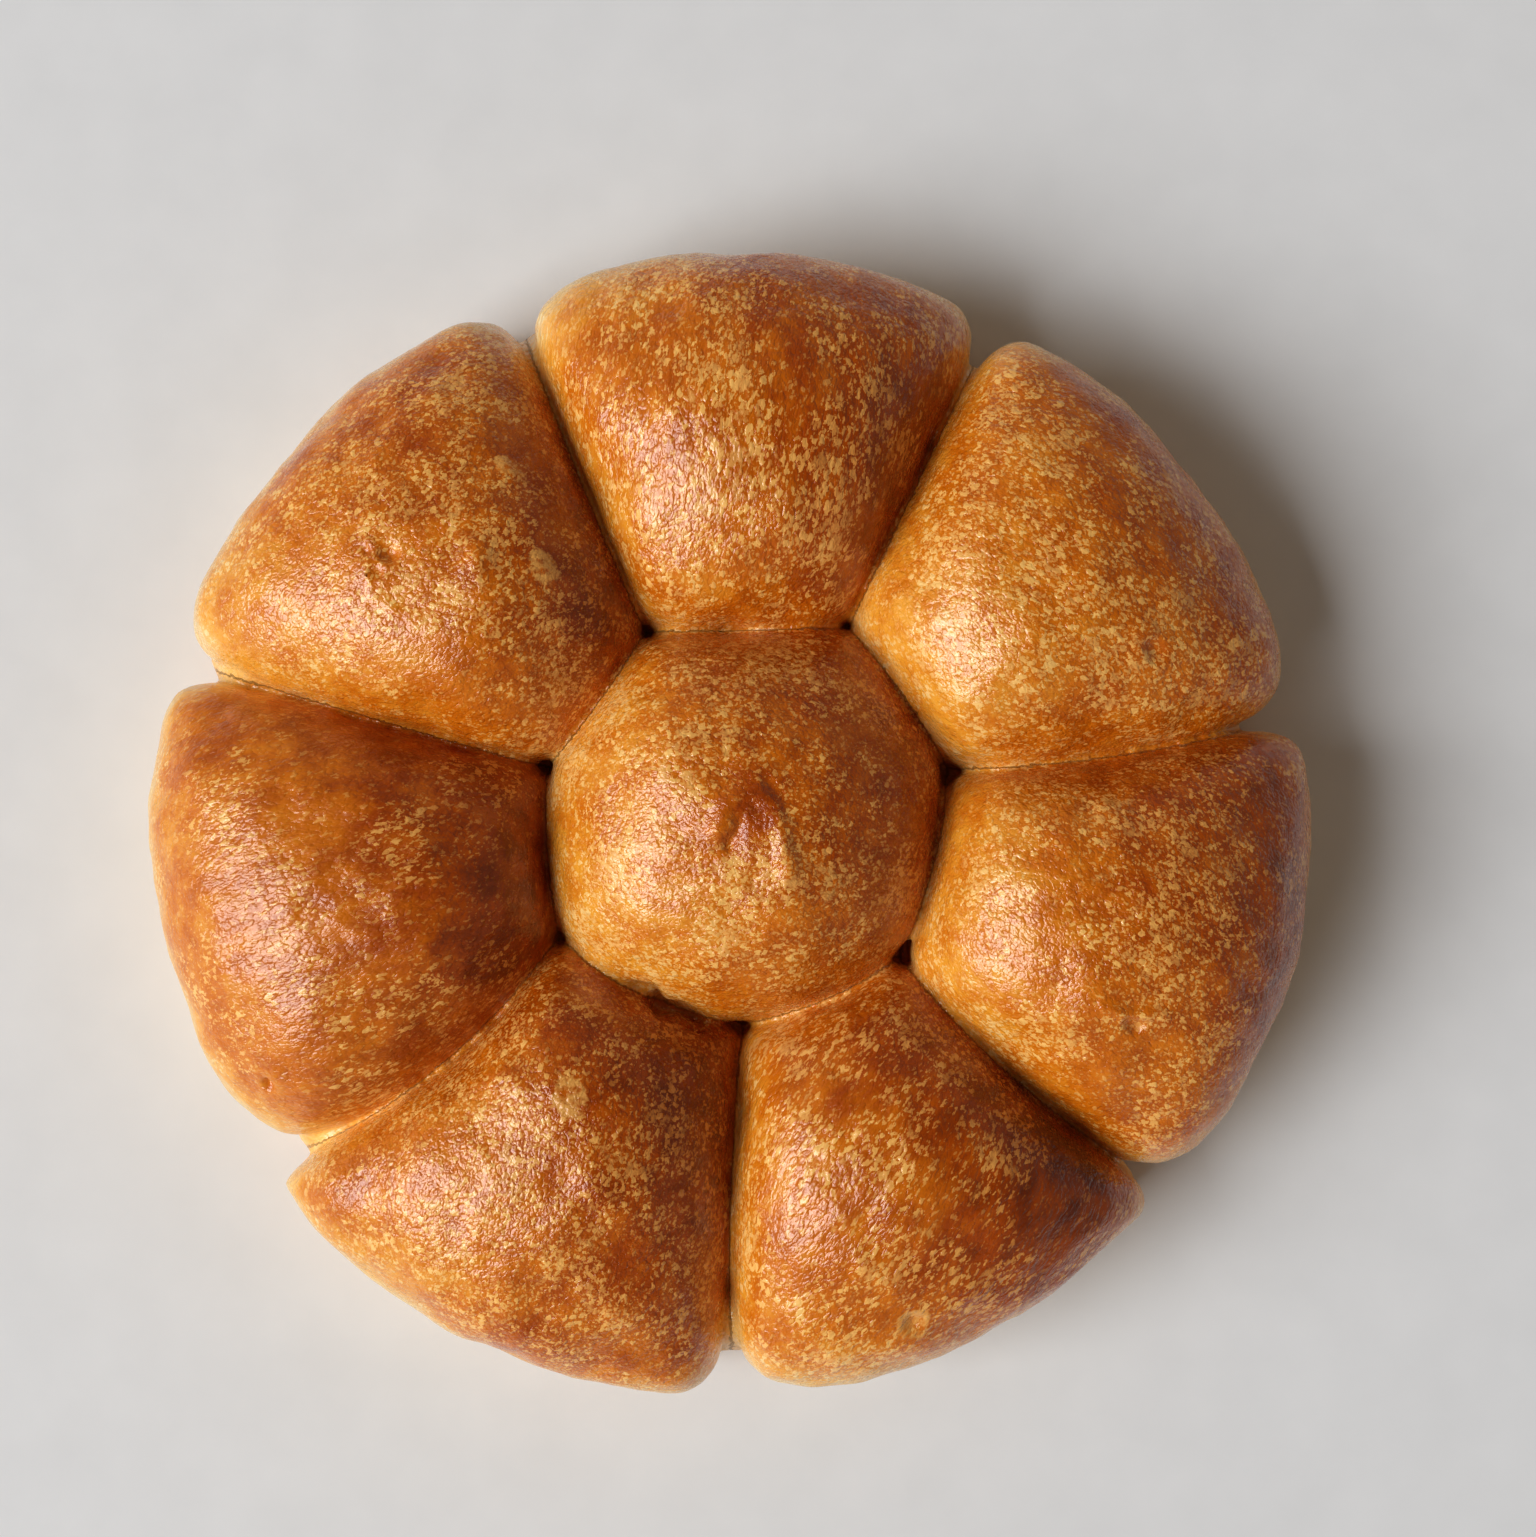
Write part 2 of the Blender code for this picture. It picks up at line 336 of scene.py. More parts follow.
FOLDS = (
    Fold(((-2.2, -1.2), (0.0, 4.2), (4.6, 6.6), (8.4, 4.0), (10.6, -1.4), (11.4, -9.6)), 2.1, 0.9),
    Fold(((7.4, 8.8), (10.2, 5.8), (12.2, 1.0)), 0.8, -0.36),
    Fold(((2.2, 0.4), (1.2, -2.6), (0.4, -4.4)), 1.0, -0.8),
    Fold(((0.6, -7.5), (-1.0, -11.5), (-1.2, -16.0)), 0.8, -0.14),
    Fold(((5.2, -4.0), (6.2, -8.4), (4.6, -11.0)), 0.7, -0.16),
    Fold(((9.0, -6.0), (8.4, -9.6), (9.6, -15.6)), 0.8, -0.13),
    Fold(((12.6, -2.0), (14.4, -6.4), (13.4, -11.0)), 0.7, -0.18),
    Fold(((14.0, 1.0), (17.4, -3.4), (21.6, -7.6)), 0.7, -0.16),
    Fold(((-71.0, 56.0), (-72.0, 50.5), (-70.6, 45.0), (-66.0, 42.6)), 0.7, 0.4),
    Fold(((74.0, -36.0), (79.0, -38.5), (86.0, -37.5)), 1.2, 0.6),
    Fold(((-83.0, -17.0), (-78.6, -18.4), (-73.6, -21.6)), 1.0, 0.2),
    Fold(((-18.6, -33.8), (-15.8, -35.0), (-14.4, -37.8), (-10.6, -38.0), (-7.0, -40.4)), 1.3, -2.2),
)
Wrinkles = namedtuple("Wrinkles", "x y reach turn spacing height")
WRINKLES = (
    Wrinkles(7.0, -12.0, 10.0, -78.0, 2.3, 0.06),
    Wrinkles(96.0, 24.0, 8.0, 60.0, 2.2, 0.16),
    Wrinkles(34.0, 96.0, 10.0, 40.0, 2.0, 0.1),
    Wrinkles(-72.0, 14.0, 16.0, 20.0, 2.8, 0.08),
    Wrinkles(26.0, -84.0, 14.0, 60.0, 2.8, 0.06),
)

# How the marks' outlines wander, and the shapes of their edges.
MARK_WOBBLE = Lumps(0.7, 3.0 * MM, 31)
FOLD_UNEVENNESS = Lumps(0.6, 3.6 * MM, 33)
WRINKLE_WANDER = Lumps(1.6, 7.0 * MM, 32)
RIM_PLACE = 1.3  # as a share of a pit's radius, as its width is
RIM_WIDTH = 0.35
BLISTER_STEEPNESS = 1.6
WRINKLE_NARROWNESS = 1.3
MARKS_ABOVE = WIDEST_HEIGHT + 5.0 * MM

# The crust's own relief, in millimetres, which fades out towards the base.
BULGES = (Lumps(1.2, 26.0 * MM, 0), Lumps(0.6, 12.0 * MM, 1))
DIMPLES = (Lumps(0.36, 5.5 * MM, 2), Lumps(0.13, 2.4 * MM, 3))
RELIEF_HEIGHTS = (1.0 * MM, 8.0 * MM)
BUN_SEED = 100
TAIL_SEED = 200
SEEDS_APART = 10


def distance_to_line(x, y, points):
    """Distance in plan to a line through several points."""
    nearest = np.full(len(x), np.inf)
    for (x0, y0), (x1, y1) in zip(points, points[1:]):
        dx, dy = x1 - x0, y1 - y0
        along = np.clip(((x - x0) * dx + (y - y0) * dy) / (dx * dx + dy * dy), 0.0, 1.0)
        nearest = np.minimum(nearest, np.hypot(x - x0 - along * dx, y - y0 - along * dy))
    return nearest


def turned(x, y, mark):
    """Places along and across a mark's own direction, from its middle."""
    turn = math.radians(mark.turn)
    dx, dy = x - mark.x, y - mark.y
    return dx * math.cos(turn) + dy * math.sin(turn), dy * math.cos(turn) - dx * math.sin(turn)


def marks_relief(places):
    """Height of the pits, blisters, folds and wrinkles, in millimetres."""
    wobble = raised_by(places, MARK_WOBBLE)
    x, y = places[:, 0] / MM + wobble, places[:, 1] / MM - wobble
    height = np.zeros(len(places))
    for pit in PITS:
        share = np.hypot(x - pit.x, y - pit.y) / pit.radius
        height -= pit.depth * np.exp(-(share**3))
        height += pit.rim * np.exp(-(((share - RIM_PLACE) / RIM_WIDTH) ** 2))
    for blister in BLISTERS:
        along, across = turned(x, y, blister)
        share = (along / blister.length) ** 2 + (across / blister.width) ** 2
        height += blister.height * np.exp(-BLISTER_STEEPNESS * share)
    unevenness = 1.0 + raised_by(places, FOLD_UNEVENNESS)
    for fold in FOLDS:
        nearness = np.exp(-((distance_to_line(x, y, fold.points) / fold.width) ** 2))
        height += fold.height * unevenness * nearness
    for patch in WRINKLES:
        along, across = turned(x, y, patch)
        window = np.exp(-((along / patch.reach) ** 2) - (WRINKLE_NARROWNESS * across / patch.reach) ** 2)
        wander = raised_by(places, WRINKLE_WANDER) * patch.spacing
        height += patch.height * window * np.sin(2.0 * math.pi * (across + wander) / patch.spacing)
    return height


def crust_relief(places, seed):
    """Height of the crust's relief over its plain form, in metres."""
    bulges = sum(raised_by(places, lumps, seed) for lumps in BULGES)
    dimples = sum(raised_by(places, lumps, seed) for lumps in DIMPLES)
    marks = np.where(places[:, 2] > MARKS_ABOVE, marks_relief(places), 0.0)
    fade = smooth_step(*RELIEF_HEIGHTS, places[:, 2])
    return (bulges + dimples + marks) * fade * MM


# Meshes


def mesh_from_rings(name, centre, rings):
    """A closed mesh through level rings, with a point at the middle of its base and of its top."""
    directions = directions_around(OUTLINE_POINTS)
    points = []
    for radii, z in rings:
        places = centre + directions * radii[:, None]
        points += [(x, y, z) for x, y in places]
    points += [(*centre, rings[0][1]), (*centre, rings[-1][1])]
    base, crown = len(points) - 2, len(points) - 1
    count = OUTLINE_POINTS
    last = (len(rings) - 1) * count
    faces = []
    for i in range(count):
        j = (i + 1) % count
        faces.append((base, j, i))
        faces.append((crown, last + i, last + j))
        for level in range(0, last, count):
            faces.append((level + i, level + j, level + count + j, level + count + i))
    mesh = bpy.data.meshes.new(name)
    mesh.from_pydata(points, [], faces)
    return mesh


def vertex_values(mesh, field):
    values = np.empty(len(mesh.vertices) * 3)
    mesh.vertices.foreach_get(field, values)
    return values.reshape(-1, 3)


def raise_crust(mesh, seed):
    """Moves a bun's surface out and in along its normals by the relief of the crust."""
    places = vertex_values(mesh, "co")
    places += vertex_values(mesh, "normal") * crust_relief(places, seed)[:, None]
    mesh.vertices.foreach_set("co", places.ravel())
    mesh.update()


def evaluated_mesh(thing):
    bpy.context.view_layer.update()
    evaluated = thing.evaluated_get(bpy.context.evaluated_depsgraph_get())
    return bpy.data.meshes.new_from_object(evaluated)


def apply_modifiers(thing):
    mesh = evaluated_mesh(thing)
    thing.modifiers.clear()
    thing.data = mesh


def parts_of(grid):
    """The vertices of a bmesh, part by part, as its edges link them."""
    unseen = set(grid.verts)
    parts = []
    for start in grid.verts:
        if start not in unseen:
            continue
        unseen.remove(start)
        part, waiting = [], [start]
        while waiting:
            vertex = waiting.pop()
            part.append(vertex)
            neighbours = [edge.other_vert(vertex) for edge in vertex.link_edges]
            fresh = [neighbour for neighbour in neighbours if neighbour in unseen]
            unseen.difference_update(fresh)
            waiting += fresh
        parts.append(part)
    return parts


def keep_largest_part(mesh):
    """Drops the tiny shells that fusing leaves inside the creases."""
    grid = bmesh.new()
    grid.from_mesh(mesh)
    parts = sorted(parts_of(grid), key=len)
    strays = [vertex for part in parts[:-1] for vertex in part]
    bmesh.ops.delete(grid, geom=strays, context="VERTS")
    grid.to_mesh(mesh)
    grid.free()


def fused_loaf(core_mesh, bun_meshes):
    """The buns and the core fused into one mesh."""
    scene_collection = bpy.context.scene.collection
    core = bpy.data.objects.new("core", core_mesh)
    scene_collection.objects.link(core)
    fused_in = bpy.data.collections.new("fused_in")
    scene_collection.children.link(fused_in)
    buns = [bpy.data.objects.new(mesh.name, mesh) for mesh in bun_meshes]
    for bun in buns:
        fused_in.objects.link(bun)
    union = core.modifiers.new("fuse_buns", "BOOLEAN")
    union.operation = "UNION"
    union.operand_type = "COLLECTION"
    union.collection = fused_in
    union.solver = "MANIFOLD"
    fused = evaluated_mesh(core)
    for thing in buns + [core]:
        bpy.data.objects.remove(thing, do_unlink=True)
    bpy.data.collections.remove(fused_in)
    loaf = bpy.data.objects.new("brioche_loaf", fused)
    scene_collection.objects.link(loaf)
    return loaf


def even_out(loaf):
    """Lays the surface out evenly, which keeps faulty faces out of the creases."""
    even = loaf.modifiers.new("even_out", "REMESH")
    even.mode = "VOXEL"
    even.voxel_size = VOXEL_SIZE
    apply_modifiers(loaf)
    keep_largest_part(loaf.data)


def thin_out(loaf):
    loaf.data.calc_loop_triangles()
    thin = loaf.modifiers.new("thin_out", "DECIMATE")
    thin.ratio = min(1.0, TRIANGLES / len(loaf.data.loop_triangles))
    apply_modifiers(loaf)


def closeness_to_seams(places):
    """From 0 to 1 at the seams, where two buns are as near."""
    shares, _ = bun_shares(places)
    nearest, second = np.sort(shares, axis=0)[:2]
    return smooth_step(SEAM_SHARE, 0.0, second - nearest) * smooth_step(*SEAM_HEIGHTS, places[:, 2])


def relax_seams(loaf):
    """Rounds the creases a little, as dough does that rose together."""
    places = vertex_values(loaf.data, "co")
    closeness = closeness_to_seams(places)
    group = loaf.vertex_groups.new(name="seams")
    for index in np.flatnonzero(closeness > 0.0):
        group.add([int(index)], float(closeness[index]), "REPLACE")
    relax = loaf.modifiers.new("relax_seams", "SMOOTH")
    relax.vertex_group = group.name
    relax.factor = SEAM_STRENGTH
    relax.iterations = SEAM_PASSES
    apply_modifiers(loaf)
    loaf.vertex_groups.clear()


# What the material reads at each point of the loaf


# Thin pale patches of crust, where large blisters or torn skin stayed light.
Patch = namedtuple("Patch", "x y length width turn strength")
PALE_PATCHES = (
    Patch(-36.9, 51.1, 4.6, 3.0, 130.0, 0.9),
    Patch(-44.0, 71.0, 3.6, 2.0, 150.0, 0.9),
    Patch(-71.5, 50.0, 1.6, 8.0, 0.0, 0.6),
    Patch(0.3, 16.4, 1.8, 5.0, 160.0, 0.8),
    Patch(20.0, -12.0, 3.6, 2.8, 100.0, 0.8),
    Patch(9.0, -16.6, 2.6, 1.8, 90.0, 0.6),
    Patch(-31.5, -53.8, 6.0, 4.0, 100.0, 0.9),
    Patch(-8.8, -60.7, 3.4, 2.2, 70.0, 0.6),
    Patch(37.3, -100.9, 4.6, 3.0, 40.0, 0.9),
    Patch(39.9, -80.6, 3.0, 2.0, 30.0, 0.7),
    Patch(72.7, 3.3, 2.6, 1.6, 60.0, 0.7),
    Patch(73.7, -10.0, 4.6, 2.0, 40.0, 0.7),
    Patch(80.5, -40.0, 4.0, 2.6, 30.0, 0.7),
    Patch(-46.0, -15.0, 1.8, 1.4, 0.0, 0.6),
    Patch(-60.0, 24.2, 2.0, 1.6, 30.0, 0.7),
)

# Smooth skin with few flecks: inside the middle bun's fold, and on the south bun's right shoulder.
SMOOTH_PATCHES = (
    Patch(5.4, 2.0, 6.4, 5.0, 20.0, 1.0),
    Patch(64.0, -77.0, 21.0, 9.0, 45.0, 0.7),
)

# Where the two kinds of patch fade out, as shares of their size, and how their edges wander.
PALE_PATCH_EDGE = (1.25, 0.75)
PALE_PATCH_WOBBLE = Lumps(1.1, 2.6 * MM, 41)
SMOOTH_PATCH_EDGE = (1.3, 0.7)
SMOOTH_PATCH_WOBBLE = Lumps(3.0, 7.0 * MM, 42)


def strongest_patch(x, y, patches, edge):
    """The strength at each place of the strongest patch there."""
    strength = np.zeros(len(x))
    for patch in patches:
        along, across = turned(x, y, patch)
        share = np.hypot(along / patch.length, across / patch.width)
        strength = np.maximum(strength, patch.strength * smooth_step(*edge, share))
    return strength


def pale_patch_strength(places):
    wobble = raised_by(places, PALE_PATCH_WOBBLE)
    x, y = places[:, 0] / MM + wobble, places[:, 1] / MM - wobble
    strength = strongest_patch(x, y, PALE_PATCHES, PALE_PATCH_EDGE)
    return np.where(places[:, 2] > WIDEST_HEIGHT, strength, 0.0)


def smooth_patch_strength(places):
    x = places[:, 0] / MM + raised_by(places, SMOOTH_PATCH_WOBBLE)
    return strongest_patch(x, places[:, 1] / MM, SMOOTH_PATCHES, SMOOTH_PATCH_EDGE)


# The side of each bun away from the window, which is painted darker as shade, as an angle in plan.
SHADED_SIDE_ANGLE = 15.0


def owners_and_sides(places):
    """The bun that each place belongs to, and how far it lies towards that bun's side away from the
    window, which is given painted shade, from -1 to 1.
    """
    shares, centres = bun_shares(places)
    owner = shares.argmin(axis=0)
    offset = places[:, :2] - centres[owner]
    towards = np.array((math.cos(math.radians(SHADED_SIDE_ANGLE)), math.sin(math.radians(SHADED_SIDE_ANGLE))))
    side = offset @ towards / np.maximum(np.hypot(*offset.T), MM) * shares.min(axis=0)
    return owner, np.clip(side, -1.0, 1.0)


# How the crust of each bun was stretched as it rose: the direction and how long it draws the flecks out.
Stretch = namedtuple("Stretch", "turn amount")
STRETCHES = (
    Stretch(-30.0, 0.25),
    Stretch(80.0, 0.45),
    Stretch(30.0, 0.2),
    Stretch(20.0, 0.45),
    Stretch(60.0, 0.2),
    Stretch(55.0, 0.5),
    Stretch(-40.0, 0.2),
    Stretch(0.0, 0.15),
)
GRAIN_SHIFT = 40.0  # millimetres along each axis from one bun's pattern to the next


def grain_places(places, owner):
    """Places in millimetres, squeezed along each bun's stretch, which draws out a pattern over them."""
    grain = places / MM
    for index, stretch in enumerate(STRETCHES):
        mine = owner == index
        turn = math.radians(stretch.turn)
        along = np.array((math.cos(turn), math.sin(turn), 0.0))
        grain[mine] -= stretch.amount * (grain[mine] @ along)[:, None] * along
        grain[mine] += GRAIN_SHIFT * index
    return grain


# The browning, with painted shade on each bun's side away from the window, from 0 to 1: what each cause
# adds, and between which heights or radii it comes in.
LEAST_BAKE = 0.26
CROWN_BAKE = 0.34  # and what each bun has of its own
CROWN_HEIGHTS = (28.0 * MM, 46.0 * MM)
# Painted shade: how much darker each bun is made on its side away from the window, and paler towards it.
SIDE_SHADE = 0.24
SIDE_SHADE_HEIGHTS = (26.0 * MM, 36.0 * MM)
RIM_PALENESS = 0.16
RIM_RADII = (92.0 * MM, 108.0 * MM)
RIM_HEIGHTS = (44.0 * MM, 30.0 * MM)
BAKE_LUMPS = (Lumps(0.09, 22.0 * MM, 51), Lumps(0.045, 8.0 * MM, 52))
FOOT_PALENESS = 0.06
FOOT_HEIGHTS = (27.0 * MM, 14.0 * MM)
SMOOTH_SKIN_BAKE = 0.09
BASE_BAKE = 0.45
BASE_HEIGHTS = (3.5 * MM, 0.8 * MM)

# How much darker or paler than the others each bun browned.
BROWNING = (-0.09, 0.02, 0.01, 0.05, 0.09, 0.06, -0.02, -0.03)


def bake_and_shade_level(places, owner, side):
    """How far the crust has browned, with painted shade darkening each bun's side away from the window,
    from 0 on the pale walls to 1 on the darkest crown.
    """
    z = places[:, 2]
    outer = smooth_step(*RIM_RADII, np.hypot(*(places[:, :2] - TIN_CENTRE).T))
    level = LEAST_BAKE + (CROWN_BAKE + np.array(BROWNING)[owner]) * smooth_step(*CROWN_HEIGHTS, z)
    # Painted shade: each bun darker on its side away from the window and paler on the side facing it.
    level += SIDE_SHADE * side * smooth_step(*SIDE_SHADE_HEIGHTS, z)
    level -= RIM_PALENESS * outer * smooth_step(*RIM_HEIGHTS, z)
    level += sum(raised_by(places, lumps) for lumps in BAKE_LUMPS)
    level -= FOOT_PALENESS * smooth_step(*FOOT_HEIGHTS, z)
    level += SMOOTH_SKIN_BAKE * smooth_patch_strength(places)
    underneath = smooth_step(*BASE_HEIGHTS, z)
    return np.clip(level + BASE_BAKE * underneath, 0.0, 1.0)


def add_attribute(mesh, name, kind, values):
    field = "vector" if kind == "FLOAT_VECTOR" else "value"
    mesh.attributes.new(name, kind, "POINT").data.foreach_set(field, np.ravel(values).astype(np.float32))


# How much of each bun's crust the flecks cover, and how dull it is.
FLECK_COVER = (0.55, 0.5, 0.52, 0.16, 0.5, 0.55, 0.47, 0.6)
DULLNESS = (0.0, 0.0, 0.0, 0.08, 0.0, 0.0, 0.0, 0.0)

COVER_LUMPS = Lumps(0.55, 11.0 * MM, 61)
FINE_COVER_LUMPS = Lumps(0.4, 4.5 * MM, 62)

# The walls, which the tin kept pale, dull and almost without flecks, and the smooth skin's lack of them.
WALL_HEIGHTS = (34.0 * MM, 24.0 * MM)
WALL_DULLNESS = 0.25
WALL_BARENESS = 0.6
SMOOTH_SKIN_BARENESS = 0.8


def describe_crust(mesh):
    places = vertex_values(mesh, "co")
    owner, side = owners_and_sides(places)
    add_attribute(mesh, "grain", "FLOAT_VECTOR", grain_places(places, owner))
    # The browning, with painted shade added on each bun's side away from the window.
    add_attribute(mesh, "bake_and_shade", "FLOAT", bake_and_shade_level(places, owner, side))
    add_attribute(mesh, "pale_patch", "FLOAT", pale_patch_strength(places))
    wall = smooth_step(*WALL_HEIGHTS, places[:, 2])
    add_attribute(mesh, "wall", "FLOAT", wall)
    add_attribute(mesh, "dull", "FLOAT", WALL_DULLNESS * wall + np.array(DULLNESS)[owner])
    fleck_cover = np.array(FLECK_COVER)[owner] + raised_by(places, COVER_LUMPS) - WALL_BARENESS * wall
    smooth_skin = smooth_patch_strength(places)
    fleck_cover += raised_by(places, FINE_COVER_LUMPS) - SMOOTH_SKIN_BARENESS * smooth_skin
    add_attribute(mesh, "fleck_cover", "FLOAT", np.clip(fleck_cover, 0.0, 1.0))


# Materials


def put_in(tree, socket, value):
    if isinstance(value, bpy.types.NodeSocket):
        tree.links.new(value, socket)
    else:
        socket.default_value = value


def add_node(tree, kind, inputs=(), **settings):
    """A node with its settings, and its inputs by name or number as values or links."""
    node = tree.nodes.new(kind)
    for name, value in settings.items():
        setattr(node, name, value)
    for name, value in dict(inputs).items():
        put_in(tree, node.inputs[name], value)
    return node


def attribute(tree, name, output="Fac"):
    return add_node(tree, "ShaderNodeAttribute", attribute_name=name).outputs[output]


def noise(tree, places, pattern, output="Fac"):
    inputs = {
        "Vector": places,
        "Scale": pattern.scale,
        "Detail": pattern.detail,
        "Roughness": pattern.roughness,
    }
    return add_node(tree, "ShaderNodeTexNoise", inputs).outputs[output]


def strewn(tree, places, scale):
    """Distance to the nearest of many points strewn about, and a random value that this point has."""
    node = add_node(tree, "ShaderNodeTexVoronoi", {"Vector": places, "Scale": scale})
    return node.outputs["Distance"], node.outputs["Color"]


def math_node(tree, operation, first, second=0.0, third=0.0):
    inputs = {0: first, 1: second, 2: third}
    return add_node(tree, "ShaderNodeMath", inputs, operation=operation).outputs[0]


def between(tree, value, low, high, to_low=0.0, to_high=1.0):
    """The value from low to high turned into a smooth step."""
    inputs = {"Value": value, "From Min": low, "From Max": high, "To Min": to_low, "To Max": to_high}
    node = add_node(tree, "ShaderNodeMapRange", inputs, interpolation_type="SMOOTHSTEP")
    return node.outputs["Result"]


def ramp(tree, value, stops):
    """A colour ramp through several places and colours."""
    node = add_node(tree, "ShaderNodeValToRGB", {"Fac": value})
    elements = node.color_ramp.elements
    while len(elements) < len(stops):
        elements.new(0.5)
    for element, (place, colour) in zip(elements, stops):
        element.position = place
        element.color = (*colour, 1.0)
    return node.outputs["Color"]


def mixed(tree, share, first, second):
    node = add_node(tree, "ShaderNodeMix", data_type="RGBA")
    put_in(tree, node.inputs["Factor"], share)
    put_in(tree, node.inputs[6], first)
    put_in(tree, node.inputs[7], second)
    return node.outputs[2]


def new_material(name):
    material = bpy.data.materials.new(name)
    material.use_nodes = True
    return material, material.node_tree, material.node_tree.nodes["Principled BSDF"]


BAKED_COLOURS = (
    (0.0, (0.93, 0.58, 0.18)),
    (0.25, (0.87, 0.39, 0.045)),
    (0.5, (0.66, 0.185, 0.007)),
    (0.75, (0.40, 0.072, 0.001)),
    (1.0, (0.15, 0.02, 0.0005)),
)
FLECK_COLOURS = (
    (0.0, (0.97, 0.74, 0.35)),
    (0.5, (0.96, 0.55, 0.165)),
    (1.0, (0.62, 0.21, 0.03)),
)
PALE_SKIN_COLOUR = (0.88, 0.48, 0.13, 1.0)

# Patterns: their lumps to a millimetre of crust or a metre of floor, how fine and how rough they are.
Pattern = namedtuple("Pattern", "scale detail roughness")
WANDER = Pattern(1.1, 0.0, 0.5)
FRAY = Pattern(1.5, 2.0, 0.7)
CLUSTERS = Pattern(0.4, 4.0, 0.7)
MOTTLE = Pattern(0.2, 4.0, 0.65)
SKIN = Pattern(0.45, 3.0, 0.62)
CLOUDS = Pattern(60.0, 4.0, 0.5)
MIDDLE_LEVEL = 0.5  # about which a pattern varies

# The flecks: dabs of two sizes, and clusters in which they run together. A dab whose reach is under 0
# doesn't show.
Dabs = namedtuple("Dabs", "scale smallest")
LARGE_DABS = Dabs(0.78, -0.1)
SMALL_DABS = Dabs(1.35, -0.16)
DAB_SIZE_BY_CHANCE = 0.6
DAB_SIZE_BY_COVER = 0.3
DAB_FRAYING = 1.5
DAB_EDGE = (0.0, 0.11)
DAB_STRENGTH_BY_CHANCE = 0.9
DAB_LEAST_STRENGTH = 0.35
SMALL_DAB_STRENGTH = 0.7
CLUSTER_BY_COVER = 0.12
CLUSTER_EDGE = (0.64, 0.76)
CLUSTER_STRENGTH = 0.8

# Smooth steps: between which two levels they rise or fall, and what they give there.
MOTTLE_STEP = (0.3, 0.7, -0.11, 0.11)
WALL_STEP = (0.0, 1.0, 0.9, 0.2)
COVER_STEP = (0.0, 0.5, 0.4, 1.0)
ROUGHNESS_STEP = (0.3, 0.7, 0.19, 0.31)

# The pale patches' edges, and how much of the crust under them they hide.
PATCH_RAGGEDNESS = 1.8
PATCH_EDGE = (1.5, 1.9)
PATCH_HIDING = 0.7

# The finest relief, in millimetres to a unit of each pattern, and the egg wash.
DAB_RELIEF = -0.09
PEBBLE_RELIEF = -0.13
SKIN_RELIEF = 0.28
SPECULAR_LEVEL = 0.42
COAT_WEIGHT = 0.55
COAT_ROUGHNESS = 0.15


def dabs(tree, places, kind, cover, ragged):
    """How strongly dabs strewn about show, by chance and by the cover, and how far off the nearest is."""
    distance, chance = strewn(tree, places, kind.scale)
    reach = math_node(tree, "MULTIPLY_ADD", chance, DAB_SIZE_BY_CHANCE, kind.smallest)
    reach = math_node(tree, "MULTIPLY_ADD", cover, DAB_SIZE_BY_COVER, reach)
    reach = math_node(tree, "MULTIPLY_ADD", ragged, DAB_FRAYING, reach)
    inside = between(tree, math_node(tree, "SUBTRACT", reach, distance), *DAB_EDGE)
    strength = math_node(tree, "MULTIPLY_ADD", chance, DAB_STRENGTH_BY_CHANCE, DAB_LEAST_STRENGTH)
    return math_node(tree, "MULTIPLY", inside, strength), distance


def flecks(tree, grain, cover, cluster):
    """How strongly the flecks show, and the distances to the middles of the large and the small dabs."""
    wander = noise(tree, grain, WANDER, "Color")
    strayed = add_node(tree, "ShaderNodeVectorMath", {0: wander, 1: grain}, operation="ADD")
    places = strayed.outputs["Vector"]
    ragged = math_node(tree, "SUBTRACT", noise(tree, grain, FRAY), MIDDLE_LEVEL)
    large, large_distance = dabs(tree, places, LARGE_DABS, cover, ragged)
    small, small_distance = dabs(tree, places, SMALL_DABS, cover, ragged)
    cluster_level = math_node(tree, "MULTIPLY_ADD", cover, CLUSTER_BY_COVER, cluster)
    clustered = between(tree, cluster_level, *CLUSTER_EDGE)
    fleck = math_node(tree, "MAXIMUM", large, math_node(tree, "MULTIPLY", small, SMALL_DAB_STRENGTH))
    fleck = math_node(tree, "MAXIMUM", fleck, math_node(tree, "MULTIPLY", clustered, CLUSTER_STRENGTH))
    return fleck, large_distance, small_distance


def crust_colour(tree, grain, cover, cluster, fleck):
    mottle = between(tree, noise(tree, grain, MOTTLE), *MOTTLE_STEP)
    # The browning level carries painted shade on each bun's side away from the window.
    bake_and_shade = math_node(tree, "ADD", attribute(tree, "bake_and_shade"), mottle)
    share = math_node(tree, "MULTIPLY", fleck, between(tree, attribute(tree, "wall"), *WALL_STEP))
    share = math_node(tree, "MULTIPLY", share, between(tree, cover, *COVER_STEP))
    flecked = mixed(tree, share, ramp(tree, bake_and_shade, BAKED_COLOURS), ramp(tree, bake_and_shade, FLECK_COLOURS))
    patch = math_node(tree, "MULTIPLY_ADD", cluster, PATCH_RAGGEDNESS, attribute(tree, "pale_patch"))
    hidden = math_node(tree, "MULTIPLY", between(tree, patch, *PATCH_EDGE), PATCH_HIDING)
    return mixed(tree, hidden, flecked, PALE_SKIN_COLOUR)


def crust_bump(tree, grain, large_distance, small_distance):
    """The pebbling too fine for the mesh: low domes over the dabs, and the skin's own unevenness."""
    pebbles = math_node(tree, "MULTIPLY", small_distance, small_distance)
    height = math_node(tree, "MULTIPLY", large_distance, DAB_RELIEF)
    height = math_node(tree, "MULTIPLY_ADD", pebbles, PEBBLE_RELIEF, height)
    height = math_node(tree, "MULTIPLY_ADD", noise(tree, grain, SKIN), SKIN_RELIEF, height)
    bump = add_node(tree, "ShaderNodeBump", {"Strength": 1.0, "Distance": MM, "Height": height})
    return bump.outputs["Normal"]


